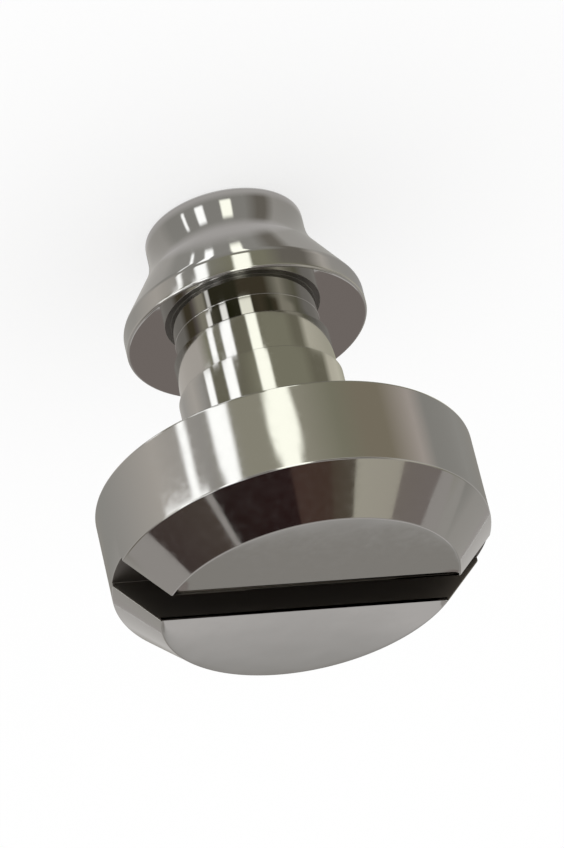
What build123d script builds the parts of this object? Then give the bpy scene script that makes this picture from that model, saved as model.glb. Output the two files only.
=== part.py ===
"""Watch bezel screw: a slotted, bevelled head on a short stepped neck with a snap-in collar and a pilot.

It is turned from one bar of steel and then slotted, so it is one solid.  It stands on its pilot with
the slotted face up: +Z is the screw's own axis, the origin is the centre of the pilot's end, and the
driver slot runs along X.  All sizes are in millimetres.
"""

from build123d import *
import os

# Head
head_diameter = 3.00
head_thickness = 1.04
bevel_width = 0.32  # across the radius
bevel_height = 0.34  # along the axis
slot_width = 0.38
slot_depth = 0.37

# Neck, from the head towards the collar
shank_diameter = 1.32
shank_length = 0.86
seat_diameter = 1.26
seat_length = 0.35
groove_diameter = 1.16
groove_length = 0.19

# Collar, which snaps through the case, and the pilot that leads it in
collar_diameter = 1.94
collar_land = 0.17
collar_taper_length = 0.51
pilot_diameter = 1.28
pilot_length = 0.30

# Rounded corners of the turned outline
shank_root_radius = 0.06
collar_shoulder_radius = 0.10
pilot_root_radius = 0.50
pilot_end_radius = 0.04
turned_edge_radius = 0.02

# Heights up the axis, each one built on the last
pilot_root = pilot_length
collar_shoulder = pilot_root + collar_taper_length
collar_back = collar_shoulder + collar_land
seat_start = collar_back + groove_length
shank_start = seat_start + seat_length
head_seat = shank_start + shank_length
head_face = head_seat + head_thickness


def turned_blank():
    """The lathe work: half of the outline, from the pilot's end to the head's face, spun round Z."""
    corners = [  # radius, height, corner radius
        (pilot_diameter / 2, 0, pilot_end_radius),
        (pilot_diameter / 2, pilot_root, pilot_root_radius),
        (collar_diameter / 2, collar_shoulder, collar_shoulder_radius),
        (collar_diameter / 2, collar_back, turned_edge_radius),
        (groove_diameter / 2, collar_back, 0),
        (groove_diameter / 2, seat_start, 0),
        (seat_diameter / 2, seat_start, 0),
        (seat_diameter / 2, shank_start, 0),
        (shank_diameter / 2, shank_start, 0),
        (shank_diameter / 2, head_seat, shank_root_radius),
        (head_diameter / 2, head_seat, turned_edge_radius),
        (head_diameter / 2, head_face - bevel_height, 0),
        (head_diameter / 2 - bevel_width, head_face, 0),
    ]
    outline = [(0, 0)] + [(radius, height) for radius, height, _ in corners] + [(0, head_face)]
    with BuildPart() as blank:
        with BuildSketch(Plane.XZ):
            with BuildLine():
                FilletPolyline(*outline, radius=[corner for _, _, corner in corners])
                Line((0, head_face), (0, 0))
            make_face()
        revolve(axis=Axis.Z)
    return blank.part


def driver_slot():
    """The saw cut across the whole head, through the face and both sides of the bevel."""
    cut_length = head_diameter + 2 * slot_width
    hung_from_top = (Align.CENTER, Align.CENTER, Align.MAX)
    return Pos(0, 0, head_face) * Box(cut_length, slot_width, slot_depth, align=hung_from_top)


bezel_screw = turned_blank() - driver_slot()

os.makedirs("parts", exist_ok=True)
export_step(bezel_screw, "parts/bezel_screw.step")
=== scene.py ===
"""The watch bezel screw, dressed: one fine turned and slotted mesh in polished steel, its studio and
its camera.

Everything is in metres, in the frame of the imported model.  The screw stands on its pilot with the
slotted face up, its axis along +Z and the driver slot along X.
"""

import math

import bmesh
import bpy
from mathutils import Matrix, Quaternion, Vector


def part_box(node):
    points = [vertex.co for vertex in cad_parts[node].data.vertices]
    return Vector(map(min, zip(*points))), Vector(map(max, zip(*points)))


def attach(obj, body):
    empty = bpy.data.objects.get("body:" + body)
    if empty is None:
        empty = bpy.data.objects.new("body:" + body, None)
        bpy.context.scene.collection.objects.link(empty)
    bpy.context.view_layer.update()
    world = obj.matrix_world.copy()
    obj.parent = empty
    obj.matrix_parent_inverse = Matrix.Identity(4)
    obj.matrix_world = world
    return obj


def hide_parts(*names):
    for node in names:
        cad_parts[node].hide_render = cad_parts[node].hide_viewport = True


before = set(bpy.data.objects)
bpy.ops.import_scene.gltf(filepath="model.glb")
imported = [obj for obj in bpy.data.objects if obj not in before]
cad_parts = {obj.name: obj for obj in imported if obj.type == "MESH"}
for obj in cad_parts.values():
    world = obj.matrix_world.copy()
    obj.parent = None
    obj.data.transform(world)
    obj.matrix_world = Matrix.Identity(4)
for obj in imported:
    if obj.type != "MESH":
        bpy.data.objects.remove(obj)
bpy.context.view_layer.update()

MM = 0.001
UP = Vector((0, 0, 1))

# ---------------------------------------------------------------------------- sizes of the screw

NODE = "bezel_screw"
node_low, node_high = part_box(NODE)
HEAD_RADIUS = (node_high.x - node_low.x) / 2
HEAD_FACE = node_high.z

HEAD_THICKNESS = 1.04 * MM
BEVEL_WIDTH = 0.32 * MM
BEVEL_HEIGHT = 0.34 * MM
SLOT_WIDTH = 0.38 * MM
SLOT_DEPTH = 0.37 * MM
SHANK_RADIUS = 0.66 * MM
SEAT_RADIUS = 0.63 * MM
SEAT_LENGTH = 0.35 * MM
GROOVE_RADIUS = 0.58 * MM
GROOVE_LENGTH = 0.19 * MM
COLLAR_RADIUS = 0.97 * MM
COLLAR_LAND = 0.17 * MM
COLLAR_TAPER_LENGTH = 0.51 * MM
PILOT_RADIUS = 0.64 * MM
PILOT_LENGTH = 0.30 * MM

SHANK_ROOT_ROUND = 0.06 * MM
COLLAR_SHOULDER_ROUND = 0.10 * MM
PILOT_ROOT_ROUND = 0.50 * MM
PILOT_END_ROUND = 0.04 * MM
TURNED_EDGE_ROUND = 0.02 * MM
INNER_CORNER_ROUND = 0.004 * MM
STEP_EDGE_ROUND = 0.005 * MM
BEVEL_EDGE_ROUND = 0.022 * MM  # what polishing leaves on the bevel's outer edge
FACE_EDGE_ROUND = 0.014 * MM  # and on its inner edge
SLOT_EDGE_ROUND = 0.008 * MM  # and on the slot's edges
HOLD = 0.004 * MM  # a row this close to each rounded corner keeps the flats beside it flat
SLOT_HOLD = 0.014 * MM  # and a column this close to the slot's edges
FACE_SLOPE = 0.010 * MM  # how far each half of the polished face falls from its rim to the slot
FACE_ROLL = 0.012 * MM  # and how much more it rolls down towards the slot

PILOT_ROOT = PILOT_LENGTH
COLLAR_SHOULDER = PILOT_ROOT + COLLAR_TAPER_LENGTH
COLLAR_BACK = COLLAR_SHOULDER + COLLAR_LAND
SEAT_START = COLLAR_BACK + GROOVE_LENGTH
SHANK_START = SEAT_START + SEAT_LENGTH
HEAD_SEAT = HEAD_FACE - HEAD_THICKNESS
BEVEL_START = HEAD_FACE - BEVEL_HEIGHT
FACE_RADIUS = HEAD_RADIUS - BEVEL_WIDTH
SLOT_FLOOR = HEAD_FACE - SLOT_DEPTH
SLOT_HALF = SLOT_WIDTH / 2

# How finely the mesh follows the form
HALF_TURN_STEPS = 160  # columns round each half of the head
SLOT_STEPS = 10  # columns round each mouth of the slot
FACE_ROWS = 12  # rows across each half of the face
ARC_STEP = math.radians(7)  # the most that a rounded corner turns from one row to the next
SLOT_EDGE_SEGMENTS = 3

# ---------------------------------------------------------------------------- the screw's mesh


def turned(vector, angle):
    """A flat vector turned by an angle."""
    cos, sin = math.cos(angle), math.sin(angle)
    return Vector((vector.x * cos - vector.y * sin, vector.x * sin + vector.y * cos))


def rounded(before, corner, after, radius):
    """The arc that rounds one corner of an outline, as points tangent to the runs on both sides."""
    to_before = (before - corner).normalized()
    to_after = (after - corner).normalized()
    half_angle = to_before.angle(to_after) / 2
    centre = corner + (to_before + to_after).normalized() * (radius / math.sin(half_angle))
    first = corner + to_before * (radius / math.tan(half_angle)) - centre
    turn = math.pi - 2 * half_angle
    steps = max(2, math.ceil(turn / ARC_STEP))
    way = math.copysign(1, first.cross(-to_before))
    arc = [centre + turned(first, way * turn * i / steps) for i in range(steps + 1)]
    return [arc[0] + to_before * HOLD] + arc + [arc[-1] + to_after * HOLD]


def turned_outline():
    """Half of the lathe's outline as (radius, height) points, from the pilot's end to the face's rim."""
    corners = [  # radius, height, corner round
        (PILOT_RADIUS, 0, PILOT_END_ROUND),
        (PILOT_RADIUS, PILOT_ROOT, PILOT_ROOT_ROUND),
        (COLLAR_RADIUS, COLLAR_SHOULDER, COLLAR_SHOULDER_ROUND),
        (COLLAR_RADIUS, COLLAR_BACK, TURNED_EDGE_ROUND),
        (GROOVE_RADIUS, COLLAR_BACK, INNER_CORNER_ROUND),
        (GROOVE_RADIUS, SEAT_START, INNER_CORNER_ROUND),
        (SEAT_RADIUS, SEAT_START, STEP_EDGE_ROUND),
        (SEAT_RADIUS, SHANK_START, INNER_CORNER_ROUND),
        (SHANK_RADIUS, SHANK_START, STEP_EDGE_ROUND),
        (SHANK_RADIUS, HEAD_SEAT, SHANK_ROOT_ROUND),
        (HEAD_RADIUS, HEAD_SEAT, TURNED_EDGE_ROUND),
        (HEAD_RADIUS, BEVEL_START, BEVEL_EDGE_ROUND),
        (FACE_RADIUS, HEAD_FACE, FACE_EDGE_ROUND),
    ]
    points = [Vector((0, 0))] + [Vector((r, z)) for r, z, _ in corners] + [Vector((0, HEAD_FACE))]
    outline = []
    for i, (_, _, radius) in enumerate(corners):
        outline += rounded(points[i], points[i + 1], points[i + 2], radius)
    return outline


def half_turn(radius):
    """Angles round one half of the head at a radius, from one mouth of the slot to the other."""
    start = math.asin(SLOT_HALF / radius)
    held = math.asin((SLOT_HALF + SLOT_HOLD) / radius)
    inner = [held + (math.pi - 2 * held) * i / HALF_TURN_STEPS for i in range(HALF_TURN_STEPS + 1)]
    return [start] + inner + [math.pi - start]


def full_turn():
    """Angles of a whole ring under the slot, in line with the columns of both halves of the head."""
    half = half_turn(HEAD_RADIUS)
    mouth = 2 * half[0] / SLOT_STEPS
    angles = []
    for side in (0, math.pi):
        angles += [side + a for a in half]
        angles += [side + half[-1] + mouth * i for i in range(1, SLOT_STEPS)]
    return angles


def new_ring(bm, angles, radius, height):
    """New vertices at some angles of a circle.  A negative radius puts them on its other side."""
    return [bm.verts.new((radius * math.cos(a), radius * math.sin(a), height)) for a in angles]


def join_rows(bm, below, above, closed=False):
    """Quads between two rows of as many vertices."""
    count = len(below)
    for i in range(count if closed else count - 1):
        j = (i + 1) % count
        bm.faces.new((below[i], below[j], above[j], above[i]))


def face_rows(bm, sign, rim):
    """One half of the buffed face, in rows from its rim to the slot's edge.  Returns the last row."""
    above = rim[1:-1]
    ends = [[above[0]], [above[-1]]]
    for row in range(1, FACE_ROWS + 2):
        line = []
        for v in rim[1:-1]:
            reach = abs(v.co.y) - SLOT_HALF
            held = SLOT_HOLD / reach
            share = held + (1 - held) * (1 - row / FACE_ROWS) if row <= FACE_ROWS else 0
            y = SLOT_HALF + share * reach
            fall = FACE_SLOPE * (1 - share) + FACE_ROLL * (1 - share) ** 2
            line.append(bm.verts.new((v.co.x, sign * y, HEAD_FACE - fall)))
        join_rows(bm, above, line)
        ends[0].append(line[0])
        ends[1].append(line[-1])
        above = line
    for corner, column in zip((rim[0], rim[-1]), ends):
        bm.faces.new([corner] + column)
    return above


def head_half(bm, side, floor_ring, rings):
    """One half of the head above the slot's floor.  Returns the face of the slot's wall."""
    columns = len(half_turn(HEAD_RADIUS))
    first = side * (columns - 1 + SLOT_STEPS)
    sign = 1 - 2 * side
    below = floor_ring[first:first + columns]
    left, right = [below[0]], [below[-1]]
    for radius, height in rings:
        ring = new_ring(bm, half_turn(radius), sign * radius, height)
        join_rows(bm, below, ring)
        below = ring
        left.append(ring[0])
        right.append(ring[-1])
    slot_edge = face_rows(bm, sign, below)
    return bm.faces.new(left + slot_edge + right[::-1])


def soften_slot(bm, slot_faces):
    """Round the edges of the slot, and hold its walls and floor flat inside them."""
    cut = set(slot_faces)
    rims = [e for e in bm.edges if len(cut.intersection(e.link_faces)) == 1]
    bmesh.ops.bevel(
        bm, geom=rims, offset=SLOT_EDGE_ROUND, offset_type="OFFSET", segments=SLOT_EDGE_SEGMENTS,
        profile=0.5, affect="EDGES", clamp_overlap=False,
    )
    sawn = [f for f in bm.faces if len(f.verts) > 2 * SLOT_STEPS and f.calc_center_median().z > HEAD_SEAT]
    bmesh.ops.inset_individual(bm, faces=sawn, thickness=HOLD)


def screw_mesh():
    """The whole screw: the turned form up to the slot's floor, then the two halves of the head."""
    bm = bmesh.new()
    outline = turned_outline()
    turned_part = [p for p in outline if p.y < SLOT_FLOOR] + [Vector((HEAD_RADIUS, SLOT_FLOOR))]
    upper_part = [p for p in outline if p.y > SLOT_FLOOR]
    angles = full_turn()
    ring = None
    for radius, height in turned_part:
        above = new_ring(bm, angles, radius, height)
        if ring is None:
            bm.faces.new(above)
        else:
            join_rows(bm, ring, above, closed=True)
        ring = above
    slot_faces = [head_half(bm, side, ring, upper_part) for side in (0, 1)]
    half = len(half_turn(HEAD_RADIUS)) - 1
    second = half + SLOT_STEPS
    both_mouths = ring[half:second + 1] + ring[second + half:] + ring[:1]
    slot_faces.append(bm.faces.new(both_mouths))
    bmesh.ops.recalc_face_normals(bm, faces=bm.faces)
    soften_slot(bm, slot_faces)
    for face in bm.faces:
        face.smooth = True
    mesh = bpy.data.meshes.new("turned_screw")
    bm.to_mesh(mesh)
    bm.free()
    return mesh


# ---------------------------------------------------------------------------- polished steel

STEEL = (0.46, 0.452, 0.438)
SAW_CUT_AND_SHADE = (0.17, 0.155, 0.14)  # the slot's sawn metal: its duller colour, darkened further with painted shade
SLOT_PAINTED_SHADE = (0.13, 0.12, 0.11)  # painted shade at the slot's floor, darker than the saw cut
PAINTED_SHADE_HEIGHT = SLOT_DEPTH / 3  # how far up the slot's walls the painted shade fades into the saw cut's colour

POLISH_ROUGHNESS = (0.06, 0.11)  # the polish of the outside varies between these
RECESS_ROUGHNESS = 0.02  # behind the collar, where the tool's finish was never worn
STEP_ROUGHNESS = 0.3  # on the narrow step that faces the collar's back
SAWN_ROUGHNESS = 0.42

SWELL_SCALE = 2600  # the faint swells that polishing leaves, per metre
SWELL_HEIGHT = 0.0012 * MM
RECESS_SWELL = 0.1  # the share of them that is left behind the collar
POLISH_SCALE = 16000  # the polish's unevenness, per metre
NOISE_RANGE = (0.3, 0.7)  # most values of a noise texture lie between these

SLOT_FADE = 0.005 * MM  # the sawn finish fades out this far beside the slot
FLOOR_FADE = 0.003 * MM  # and this far below its floor
RECESS_MARGIN = 0.003 * MM  # the recess's finish goes on this far past its two sides
SKIN = 0.001 * MM  # how far a mask reaches round the surface that it covers


def node_adder(tree):
    """A function that adds one node to a tree."""
    def add(kind, settings, **inputs):
        """Each input is a value or another node's output, and is named as its socket is, or _0, _1 ..."""
        node = tree.nodes.new(kind)
        for name, value in settings.items():
            setattr(node, name, value)
        for name, value in inputs.items():
            socket = node.inputs[int(name[1:])] if name[0] == "_" else node.inputs[name]
            if isinstance(value, bpy.types.NodeSocket):
                tree.links.new(value, socket)
            else:
                socket.default_value = value
        return node
    return add


def mapped(add, value, start, end, **settings):
    """A value brought to 0 at the start and 1 at the end, and held there beyond them."""
    return add("ShaderNodeMapRange", settings, Value=value, _1=start, _2=end).outputs[0]


def within(add, value, low, high):
    """1 where a value lies between two others, and 0 elsewhere."""
    middle, reach = (low + high) / 2, (high - low) / 2
    return add("ShaderNodeMath", {"operation": "COMPARE"}, _0=value, _1=middle, _2=reach).outputs[0]


def mixed(add, share, first, second):
    """A number that goes from the first to the second as the share goes from 0 to 1."""
    return add("ShaderNodeMix", {"data_type": "FLOAT"}, Factor=share, _2=first, _3=second).outputs[0]


def mixed_colour(add, share, first, second):
    """A colour that goes from the first to the second as the share goes from 0 to 1."""
    return add("ShaderNodeMix", {"data_type": "RGBA"}, Factor=share, _6=first, _7=second).outputs[2]


def slot_mask(add, parts):
    """1 in the slot, with a smooth edge, and 0 elsewhere."""
    across = add("ShaderNodeMath", {"operation": "ABSOLUTE"}, _0=parts.outputs["Y"]).outputs[0]
    beside = mapped(add, across, SLOT_HALF + SLOT_FADE, SLOT_HALF + SKIN, interpolation_type="SMOOTHSTEP")
    above = mapped(
        add, parts.outputs["Z"], SLOT_FLOOR - FLOOR_FADE, SLOT_FLOOR - SKIN, interpolation_type="SMOOTHSTEP",
    )
    return add("ShaderNodeMath", {"operation": "MULTIPLY"}, _0=beside, _1=above).outputs[0]


def polished_steel():
    """Bright steel with the faint swells and uneven gloss of its polish, and a dull saw cut darkened with
    painted shade, darkest at the slot's floor.
    """
    material = bpy.data.materials.new("polished_steel")
    material.use_nodes = True
    add = node_adder(material.node_tree)
    place = add("ShaderNodeTexCoord", {}).outputs["Object"]
    parts = add("ShaderNodeSeparateXYZ", {}, Vector=place)
    height = parts.outputs["Z"]
    swells = add("ShaderNodeTexNoise", {}, Vector=place, Scale=SWELL_SCALE, Detail=1)
    fine = add("ShaderNodeTexNoise", {}, Vector=place, Scale=POLISH_SCALE, Detail=3)
    in_slot = slot_mask(add, parts)
    in_recess = within(add, height, COLLAR_BACK - RECESS_MARGIN, SEAT_START + RECESS_MARGIN)
    on_step = within(add, height, SEAT_START - SKIN, SEAT_START + SKIN)

    # Painted shade in the slot: darkest at its floor, fading up the walls into the darkened saw cut
    above_painted_shade = mapped(add, height, SLOT_FLOOR, SLOT_FLOOR + PAINTED_SHADE_HEIGHT)
    sawn = mixed_colour(add, above_painted_shade, (*SLOT_PAINTED_SHADE, 1), (*SAW_CUT_AND_SHADE, 1))
    colour = mixed_colour(add, in_slot, (*STEEL, 1), sawn)

    roughness = mixed(add, mapped(add, fine.outputs["Fac"], *NOISE_RANGE), *POLISH_ROUGHNESS)
    roughness = mixed(add, in_recess, roughness, RECESS_ROUGHNESS)
    roughness = mixed(add, on_step, roughness, STEP_ROUGHNESS)
    roughness = mixed(add, in_slot, roughness, SAWN_ROUGHNESS)

    strength = mixed(add, in_recess, 1, RECESS_SWELL)
    bump = add("ShaderNodeBump", {}, Height=swells.outputs["Fac"], Strength=strength, Distance=SWELL_HEIGHT)

    shader = material.node_tree.nodes["Principled BSDF"]
    shader.inputs["Metallic"].default_value = 1
    material.node_tree.links.new(colour, shader.inputs["Base Color"])
    material.node_tree.links.new(roughness, shader.inputs["Roughness"])
    material.node_tree.links.new(bump.outputs["Normal"], shader.inputs["Normal"])
    return material


# ---------------------------------------------------------------------------- camera

CAMERA_BEARING = math.radians(19.6)  # from -Y towards +X
CAMERA_HEIGHT = math.radians(29.75)
CAMERA_ROLL = math.radians(166.38)  # the screw hangs head down in the picture
CAMERA_DISTANCE = 46.56 * MM
AIM_RIGHT = 0.123 * MM
AIM_UP = -0.098 * MM
LENS = 251.8
NEAREST_SEEN = 1 * MM
FARTHEST_SEEN = 10

level_view = Vector((math.sin(CAMERA_BEARING), -math.cos(CAMERA_BEARING), 0))
picture_right = Vector((-math.cos(CAMERA_BEARING), -math.sin(CAMERA_BEARING), 0))
to_camera = level_view * math.cos(CAMERA_HEIGHT) + UP * math.sin(CAMERA_HEIGHT)
camera_turn = (-to_camera).to_track_quat("-Z", "Y") @ Quaternion((0, 0, 1), CAMERA_ROLL)
aim = (node_low + node_high) / 2 + camera_turn @ Vector((AIM_RIGHT, AIM_UP, 0))
camera_place = aim + to_camera * CAMERA_DISTANCE


def add_camera():
    """The camera, far away behind a long lens."""
    data = bpy.data.cameras.new("camera")
    data.lens = LENS
    data.clip_start = NEAREST_SEEN
    data.clip_end = FARTHEST_SEEN
    camera = bpy.data.objects.new("camera", data)
    camera.rotation_mode = "QUATERNION"
    camera.rotation_quaternion = camera_turn
    camera.location = camera_place
    bpy.context.collection.objects.link(camera)
    bpy.context.scene.camera = camera


# ---------------------------------------------------------------------------- directions and tones


def spread(start, end, steps):
    """Numbers from the start to the end in even steps."""
    return [start + (end - start) * i / steps for i in range(steps + 1)]


def bearing(degrees):
    """A level direction, counted from the camera towards the right of the picture."""
    angle = math.radians(degrees)
    return level_view * math.cos(angle) + picture_right * math.sin(angle)


def direction(degrees, height):
    """A direction by its bearing and its height in degrees above the floor."""
    tilt = math.radians(height)
    return bearing(degrees) * math.cos(tilt) + UP * math.sin(tilt)


def mirrored(place, normal):
    """Where the camera's line of sight goes after a polished place that faces along the normal."""
    sight = (camera_place - place).normalized()
    return 2 * normal.dot(sight) * normal - sight


def shown(red, green, blue):
    """The light that a card gives for the steel to show this screen colour."""
    def light(value, steel):
        value /= 255
        linear = value / 12.92 if value <= 0.04045 else ((value + 0.055) / 1.055) ** 2.4
        return linear / steel
    return Vector((light(red, STEEL[0]), light(green, STEEL[1]), light(blue, STEEL[2])))


def blend(stops, at):
    """The colour at a place between stops, each a place and a colour."""
    for (start, first), (end, last) in zip(stops, stops[1:]):
        if at <= end:
            return first.lerp(last, max(0, (at - start) / (end - start)))
    return stops[-1][1]


# The studio's tones, named as the steel shows them
WHITE = shown(255, 255, 252)
CREAM = shown(253, 253, 238)
PEARL = shown(157, 152, 145)
ASH = shown(152, 149, 146)
ROSE = shown(151, 143, 136)
IVORY = shown(166, 162, 147)
SILVER = shown(137, 134, 129)
PEWTER = shown(123, 121, 116)
LEAD = shown(110, 108, 106)
SHADE = shown(95, 91, 84)
KHAKI = shown(131, 128, 114)
OLIVE = shown(113, 111, 95)
BRONZE = shown(114, 107, 92)
MOSS = shown(96, 93, 79)
MAUVE = shown(105, 98, 94)
UMBER = shown(80, 73, 58)
EARTH = shown(58, 56, 42)
INK = shown(42, 42, 24)

# The lights on the cards: three long ones from left to right, then a broad one round the first of
# them, which makes the white fringe along the bevel.
LIGHT_COLOURS = (WHITE, WHITE, CREAM, WHITE)
LIGHT_EDGE = 1.4  # degrees over which a light fades out


def lit(tint, degrees, lights, strength=1.0):
    """The tint with the lights, each a bearing and a width, laid over it."""
    for (at, width), colour in zip(lights, LIGHT_COLOURS):
        inside = (width / 2 - abs(degrees - at)) / LIGHT_EDGE + 0.5
        tint = tint.lerp(colour * strength, max(0, min(1, inside)))
    return tint


# ---------------------------------------------------------------------------- studio cards


def glow():
    """The cards' material, lit in each card's own tint."""
    material = bpy.data.materials.new("lit_card")
    material.use_nodes = True
    material.cycles.emission_sampling = "NONE"
    nodes, links = material.node_tree.nodes, material.node_tree.links
    nodes.clear()
    tint = nodes.new("ShaderNodeVertexColor")
    tint.layer_name = "tint"
    light = nodes.new("ShaderNodeEmission")
    output = nodes.new("ShaderNodeOutputMaterial")
    links.new(tint.outputs["Color"], light.inputs["Color"])
    links.new(light.outputs["Emission"], output.inputs["Surface"])
    return material


lit_card = glow()


def add_card(name, rows):
    """A studio card that only polished surfaces see.  rows holds (point, tint) pairs, row by row."""
    width = len(rows[0])
    quads = [
        (i + j * width, i + 1 + j * width, i + 1 + (j + 1) * width, i + (j + 1) * width)
        for j in range(len(rows) - 1) for i in range(width - 1)
    ]
    mesh = bpy.data.meshes.new(name)
    mesh.from_pydata([point for row in rows for point, _ in row], [], quads)
    tints = mesh.color_attributes.new("tint", "FLOAT_COLOR", "POINT")
    for i, (_, tint) in enumerate(pair for row in rows for pair in row):
        tints.data[i].color = (*tint, 1)
    mesh.materials.append(lit_card)
    card = bpy.data.objects.new(name, mesh)
    bpy.context.collection.objects.link(card)
    card.visible_camera = False
    card.visible_diffuse = False
    card.visible_shadow = False


# What each part of the screw shows of the floor card, by the bearing of the place that mirrors it
CONE_SHOWS = ((-90, ASH), (90, ASH))
PILOT_SHOWS = (
    (-90, LEAD), (-80, SILVER), (-50, SILVER), (-40, PEWTER), (20, PEWTER), (30, SHADE), (36, SHADE),
    (44, SILVER), (90, PEWTER),
)
LAND_SHOWS = (
    (-90, PEWTER), (-58, SILVER), (-40, PEARL), (-20, PEWTER), (0, OLIVE), (16, OLIVE), (25, SHADE),
    (36, SHADE), (46, PEARL), (52, SILVER), (90, LEAD),
)
SEAT_SHOWS = (
    (-90, SILVER), (-65, PEARL), (-40, PEARL), (-31, OLIVE), (-10, MOSS), (0, MOSS), (14, OLIVE),
    (28, OLIVE), (35, MOSS), (40, MOSS), (46, IVORY), (76, KHAKI), (90, OLIVE),
)
SHANK_SHOWS = (
    (-90, SILVER), (-68, SILVER), (-52, PEARL), (-42, SILVER), (-30, MOSS), (-10, MOSS), (0, OLIVE),
    (34, OLIVE), (42, MOSS), (52, MOSS), (58, IVORY), (68, IVORY), (80, KHAKI), (90, MOSS),
)
HEAD_SHOWS = (
    (-90, SHADE), (-68, PEWTER), (-56, SILVER), (-38, PEARL), (-20, SILVER), (-8, KHAKI), (10, KHAKI),
    (20, OLIVE), (28, BRONZE), (35, BRONZE), (46, ROSE), (52, PEWTER), (68, PEWTER), (90, SHADE),
)

# The bearing and width of the lights that each part shows
PILOT_LIGHTS = ((-26, 2.2), (-13, 6.2), (6.5, 7.8))
LAND_LIGHTS = ((-25.5, 2.6), (-14, 6), (5.5, 8))
SEAT_LIGHTS = ((-27, 4.5), (-14.5, 8), (5, 7.5))
SHANK_LIGHTS = ((-34.8, 5.5), (-18, 7.5), (6, 9))
HEAD_BACK_LIGHTS = ((-26, 2.8), (-14, 6.4), (4.3, 6.5))
HEAD_LOW_LIGHTS = ((-26, 2.8), (-14, 6.2), (4, 8.2))
HEAD_LIGHTS = ((-26, 2.8), (-14, 6), (4, 9))
HEAD_HIGH_LIGHTS = ((-26, 2.8), (-14, 5.6), (4, 8))
BEVEL_EDGE_LIGHTS = ((-26, 2.8), (-13.6, 4.6), (4, 5.5))
FRINGE_LIGHTS = BEVEL_EDGE_LIGHTS + ((-29.5, 16),)

# Rows of the floor card, outwards: the radius and height of the place that mirrors the row, what it
# shows there, and its lights
FLOOR_ROWS = (
    (PILOT_RADIUS, 0.001 * MM, CONE_SHOWS, ()),
    (PILOT_RADIUS, 0.04 * MM, CONE_SHOWS, ()),
    (PILOT_RADIUS, 0.09 * MM, PILOT_SHOWS, ()),
    (PILOT_RADIUS, 0.11 * MM, PILOT_SHOWS, PILOT_LIGHTS),
    (PILOT_RADIUS, 0.40 * MM, PILOT_SHOWS, PILOT_LIGHTS),
    (PILOT_RADIUS, 0.45 * MM, PILOT_SHOWS, ()),
    (COLLAR_RADIUS, 0.56 * MM, LAND_SHOWS, ()),
    (COLLAR_RADIUS, 0.62 * MM, LAND_SHOWS, LAND_LIGHTS),
    (COLLAR_RADIUS, COLLAR_SHOULDER - 0.02 * MM, LAND_SHOWS, LAND_LIGHTS),
    (COLLAR_RADIUS, COLLAR_BACK - 0.06 * MM, LAND_SHOWS, LAND_LIGHTS),
    (SEAT_RADIUS, SEAT_START + 0.03 * MM, SEAT_SHOWS, SEAT_LIGHTS),
    (SEAT_RADIUS, SHANK_START - 0.02 * MM, SEAT_SHOWS, SEAT_LIGHTS),
    (SHANK_RADIUS, SHANK_START + 0.02 * MM, SHANK_SHOWS, SHANK_LIGHTS),
    (SHANK_RADIUS, HEAD_SEAT, SHANK_SHOWS, SHANK_LIGHTS),
    (HEAD_RADIUS, HEAD_SEAT - 0.15 * MM, HEAD_SHOWS, HEAD_BACK_LIGHTS),
    (HEAD_RADIUS, HEAD_SEAT + 0.15 * MM, HEAD_SHOWS, HEAD_LOW_LIGHTS),
    (HEAD_RADIUS, HEAD_SEAT + 0.35 * MM, HEAD_SHOWS, HEAD_LIGHTS),
    (HEAD_RADIUS, HEAD_SEAT + 0.55 * MM, HEAD_SHOWS, HEAD_HIGH_LIGHTS),
    (HEAD_RADIUS, BEVEL_START - 0.05 * MM, HEAD_SHOWS, BEVEL_EDGE_LIGHTS),
    (HEAD_RADIUS, BEVEL_START - 0.04 * MM, HEAD_SHOWS, FRINGE_LIGHTS),
    (HEAD_RADIUS, BEVEL_START + 0.2 * MM, HEAD_SHOWS, FRINGE_LIGHTS),
)
FLOOR_COLUMNS = spread(-90, 90, 720)
FLOOR_REACH = (2, 4, 11)  # the card goes on outwards this many times as far, in a plain tone
FAR_TONE = shown(152, 149, 145)
CARD_LIFT = 0.01 * MM  # the floor card lies this far above the floor


def floor_spot(radius, height, degrees):
    """Where the camera sees the floor in the mirror of an upright polished wall."""
    place = bearing(degrees) * radius
    place.z = height
    sight = mirrored(place, bearing(degrees))
    spot = place - sight * (height / sight.z)
    return Vector((spot.x, spot.y, CARD_LIFT))


def floor_card():
    """Soft tones on the floor in front of the screw, crossed by the lights."""
    rows = []
    for radius, height, shows, lights in FLOOR_ROWS:
        rows.append([
            (floor_spot(radius, height, degrees), lit(blend(shows, degrees), degrees, lights))
            for degrees in FLOOR_COLUMNS
        ])
    edge = [spot for spot, _ in rows[-1]]
    for reach in FLOOR_REACH:
        rows.append([
            (Vector((spot.x * reach, spot.y * reach, spot.z)), lit(FAR_TONE, degrees, HEAD_LIGHTS))
            for spot, degrees in zip(edge, FLOOR_COLUMNS)
        ])
    add_card("floor_card", rows)


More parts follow.
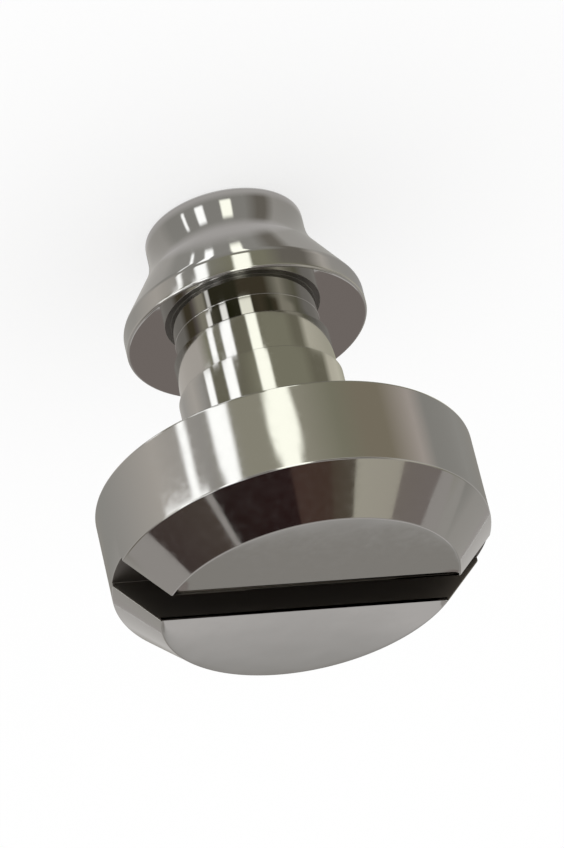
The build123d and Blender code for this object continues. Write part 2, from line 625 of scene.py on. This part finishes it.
# The ring card's tones by bearing: below its split, what the neck shows of it through the collar's
# back, and above, what the collar's back shows of it through the neck
RING_SIDES = (
    (-180, MAUVE), (-172, MAUVE), (-150, SILVER), (-110, SILVER), (-96, UMBER), (-85, UMBER),
    (-78, MAUVE), (-66, IVORY), (-57, IVORY),
)
RING_LOWER = RING_SIDES + (
    (-50, MOSS), (-20, INK), (0, EARTH), (30, UMBER), (44, EARTH), (54, UMBER), (64, IVORY),
    (80, IVORY), (92, OLIVE), (116, PEWTER), (124, SILVER), (150, SILVER), (172, MAUVE), (180, MAUVE),
)
RING_UPPER = RING_SIDES + (
    (-50, EARTH), (-4, EARTH), (4, UMBER), (42, UMBER), (54, KHAKI), (66, IVORY), (80, KHAKI),
    (94, OLIVE), (112, SILVER), (150, SILVER), (172, MAUVE), (180, MAUVE),
)
RING_LOWER_LIGHTS = ((-26.5, 4), (-13.5, 5), (4, 9))
RING_UPPER_LIGHTS = ((-24, 3),)
RING_LOWER_STRENGTH = 1.55  # the neck shows these lights by two mirrors, and each takes some away
RING_UPPER_STRENGTH = 1.0
RING_COLUMNS = spread(-180, 180, 720)
RING_RADIUS = 8 * MM
RING_BOTTOM = 3.4 * MM
RING_SPLIT = 5.43 * MM
RING_SPLIT_HALF = 0.02 * MM
RING_TOP = 6.2 * MM
RING_ROWS = (
    (RING_BOTTOM, RING_LOWER, RING_LOWER_LIGHTS, RING_LOWER_STRENGTH),
    (RING_SPLIT - RING_SPLIT_HALF, RING_LOWER, RING_LOWER_LIGHTS, RING_LOWER_STRENGTH),
    (RING_SPLIT + RING_SPLIT_HALF, RING_UPPER, RING_UPPER_LIGHTS, RING_UPPER_STRENGTH),
    (RING_TOP, RING_UPPER, RING_UPPER_LIGHTS, RING_UPPER_STRENGTH),
)


def ring_card():
    """A low ring that only the recess behind the collar mirrors, dark in front, with the lights on it.

    A light stands on the ring at twice the bearing of the place that mirrors it.
    """
    rows = []
    for height, tones, lights, strength in RING_ROWS:
        rows.append([
            (
                bearing(degrees) * RING_RADIUS + UP * height,
                lit(blend(tones, degrees), degrees / 2, lights, strength),
            )
            for degrees in RING_COLUMNS
        ])
    add_card("ring_card", rows)


DOME_COLUMNS = spread(-180, 180, 360)
DOME_RADIUS = 80 * MM
DOME_TONE = shown(136, 132, 128)
DOME_HEIGHTS = range(0, 91, 3)  # degrees
DOME_LIGHTS_TOP = 45  # degrees


def dome():
    """A tent over the whole screw, with the three long lights climbing its near side."""
    rows = []
    for height in DOME_HEIGHTS:
        lights = HEAD_LIGHTS if height <= DOME_LIGHTS_TOP else ()
        rows.append([
            (direction(degrees, height) * DOME_RADIUS, lit(DOME_TONE, degrees / 2, lights))
            for degrees in DOME_COLUMNS
        ])
    add_card("dome", rows)


PANEL_STEPS = 24
PANEL_RADIUS = 70 * MM

BACKDROP_BEARINGS = (150, 210)
BACKDROP_LOW = shown(119, 116, 111)
BACKDROP_MIDDLE = shown(140, 138, 135)
BACKDROP_HIGH = shown(163, 160, 157)
BACKDROP_ROWS = (  # height in degrees, tint
    (14, BACKDROP_LOW),
    (29.6, BACKDROP_LOW),
    (31, BACKDROP_MIDDLE),
    (34.5, BACKDROP_HIGH),
    (52, BACKDROP_HIGH),
)


def backdrop():
    """A soft light behind the screw, which its face mirrors."""
    rows = []
    for height, tint in BACKDROP_ROWS:
        rows.append([
            (direction(degrees, height) * PANEL_RADIUS, tint)
            for degrees in spread(*BACKDROP_BEARINGS, PANEL_STEPS)
        ])
    add_card("backdrop", rows)


# The panels that the bevel mirrors: the bearings of their two edges on the bevel, and their tints there
BEVEL_PANELS = (
    ("flag_left", -46, -23.2, shown(56, 47, 44), shown(66, 58, 52)),
    ("flag_middle", -20.8, 3.1, shown(30, 20, 18), shown(34, 21, 20)),
    ("flag_brown", 3.1, 15, shown(62, 46, 40), shown(62, 48, 40)),
    ("flag_bronze", 15, 22.7, shown(68, 58, 48), shown(76, 70, 60)),
    ("panel_chalk", 22.7, 38.5, shown(150, 146, 133), shown(146, 141, 129)),
    ("flag_plum", 38.5, 53, shown(106, 99, 93), shown(106, 99, 95)),
)
PANEL_SPAN = 4.5  # degrees each side of the line that the bevel mirrors
BEVEL_SLOPE = math.degrees(math.atan2(BEVEL_WIDTH, BEVEL_HEIGHT))


def bevel_panel(name, start, end, first, last):
    """A card hung where the camera sees it in the bevel between two bearings."""
    rows = []
    for side in (-PANEL_SPAN, PANEL_SPAN):
        row = []
        for i, at in enumerate(spread(start, end, PANEL_STEPS)):
            place = bearing(at) * (HEAD_RADIUS - BEVEL_WIDTH / 2) + UP * (HEAD_FACE - BEVEL_HEIGHT / 2)
            way = mirrored(place, direction(at, BEVEL_SLOPE))
            tilted = Quaternion(way.cross(UP).normalized(), math.radians(side)) @ way
            row.append((place + tilted * PANEL_RADIUS, first.lerp(last, i / PANEL_STEPS)))
        rows.append(row)
    add_card(name, rows)


EDGE_LIGHT_BEARINGS = (-39, -19.5)
EDGE_LIGHT_SLOPES = (15.5, 21, 26.5, 32, 38)  # degrees, round the edge from the wall to the bevel


def edge_light():
    """A white card hung where the camera sees it in the left of the bevel's outer edge."""
    rows = []
    for slope in EDGE_LIGHT_SLOPES:
        row = []
        for at in spread(*EDGE_LIGHT_BEARINGS, PANEL_STEPS):
            place = bearing(at) * HEAD_RADIUS + UP * BEVEL_START
            row.append((place + mirrored(place, direction(at, slope)) * PANEL_RADIUS, WHITE))
        rows.append(row)
    add_card("edge_light", rows)


# ---------------------------------------------------------------------------- floor and world

FLOOR_HALF_WIDTH = 500 * MM
FLOOR_GLOW = 0.65  # share of the floor's white that is its own, which keeps the screw's shadow light


def add_floor():
    """A wide white floor."""
    mesh = bpy.data.meshes.new("floor")
    reach = FLOOR_HALF_WIDTH
    corners = [(-reach, -reach, 0), (reach, -reach, 0), (reach, reach, 0), (-reach, reach, 0)]
    mesh.from_pydata(corners, [], [(0, 1, 2, 3)])
    material = bpy.data.materials.new("white_floor")
    material.use_nodes = True
    shader = material.node_tree.nodes["Principled BSDF"]
    shader.inputs["Base Color"].default_value = (1 - FLOOR_GLOW, 1 - FLOOR_GLOW, 1 - FLOOR_GLOW, 1)
    shader.inputs["Roughness"].default_value = 1
    shader.inputs["Specular IOR Level"].default_value = 0
    shader.inputs["Emission Color"].default_value = (1, 1, 1, 1)
    shader.inputs["Emission Strength"].default_value = FLOOR_GLOW
    material.cycles.emission_sampling = "NONE"
    mesh.materials.append(material)
    floor = bpy.data.objects.new("floor", mesh)
    bpy.context.collection.objects.link(floor)


def add_world():
    """Plain soft white light from all round."""
    world = bpy.data.worlds.new("studio")
    world.use_nodes = True
    background = world.node_tree.nodes["Background"]
    background.inputs["Color"].default_value = (1, 1, 1, 1)
    background.inputs["Strength"].default_value = 1
    bpy.context.scene.world = world


# ---------------------------------------------------------------------------- the scene

screw = bpy.data.objects.new("turned_screw", screw_mesh())
bpy.context.collection.objects.link(screw)
screw.data.materials.append(polished_steel())
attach(screw, "root")
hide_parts(NODE)

add_floor()
floor_card()
ring_card()
dome()
backdrop()
for panel in BEVEL_PANELS:
    bevel_panel(*panel)
edge_light()
add_world()
add_camera()
bpy.context.scene.view_settings.view_transform = "Standard"
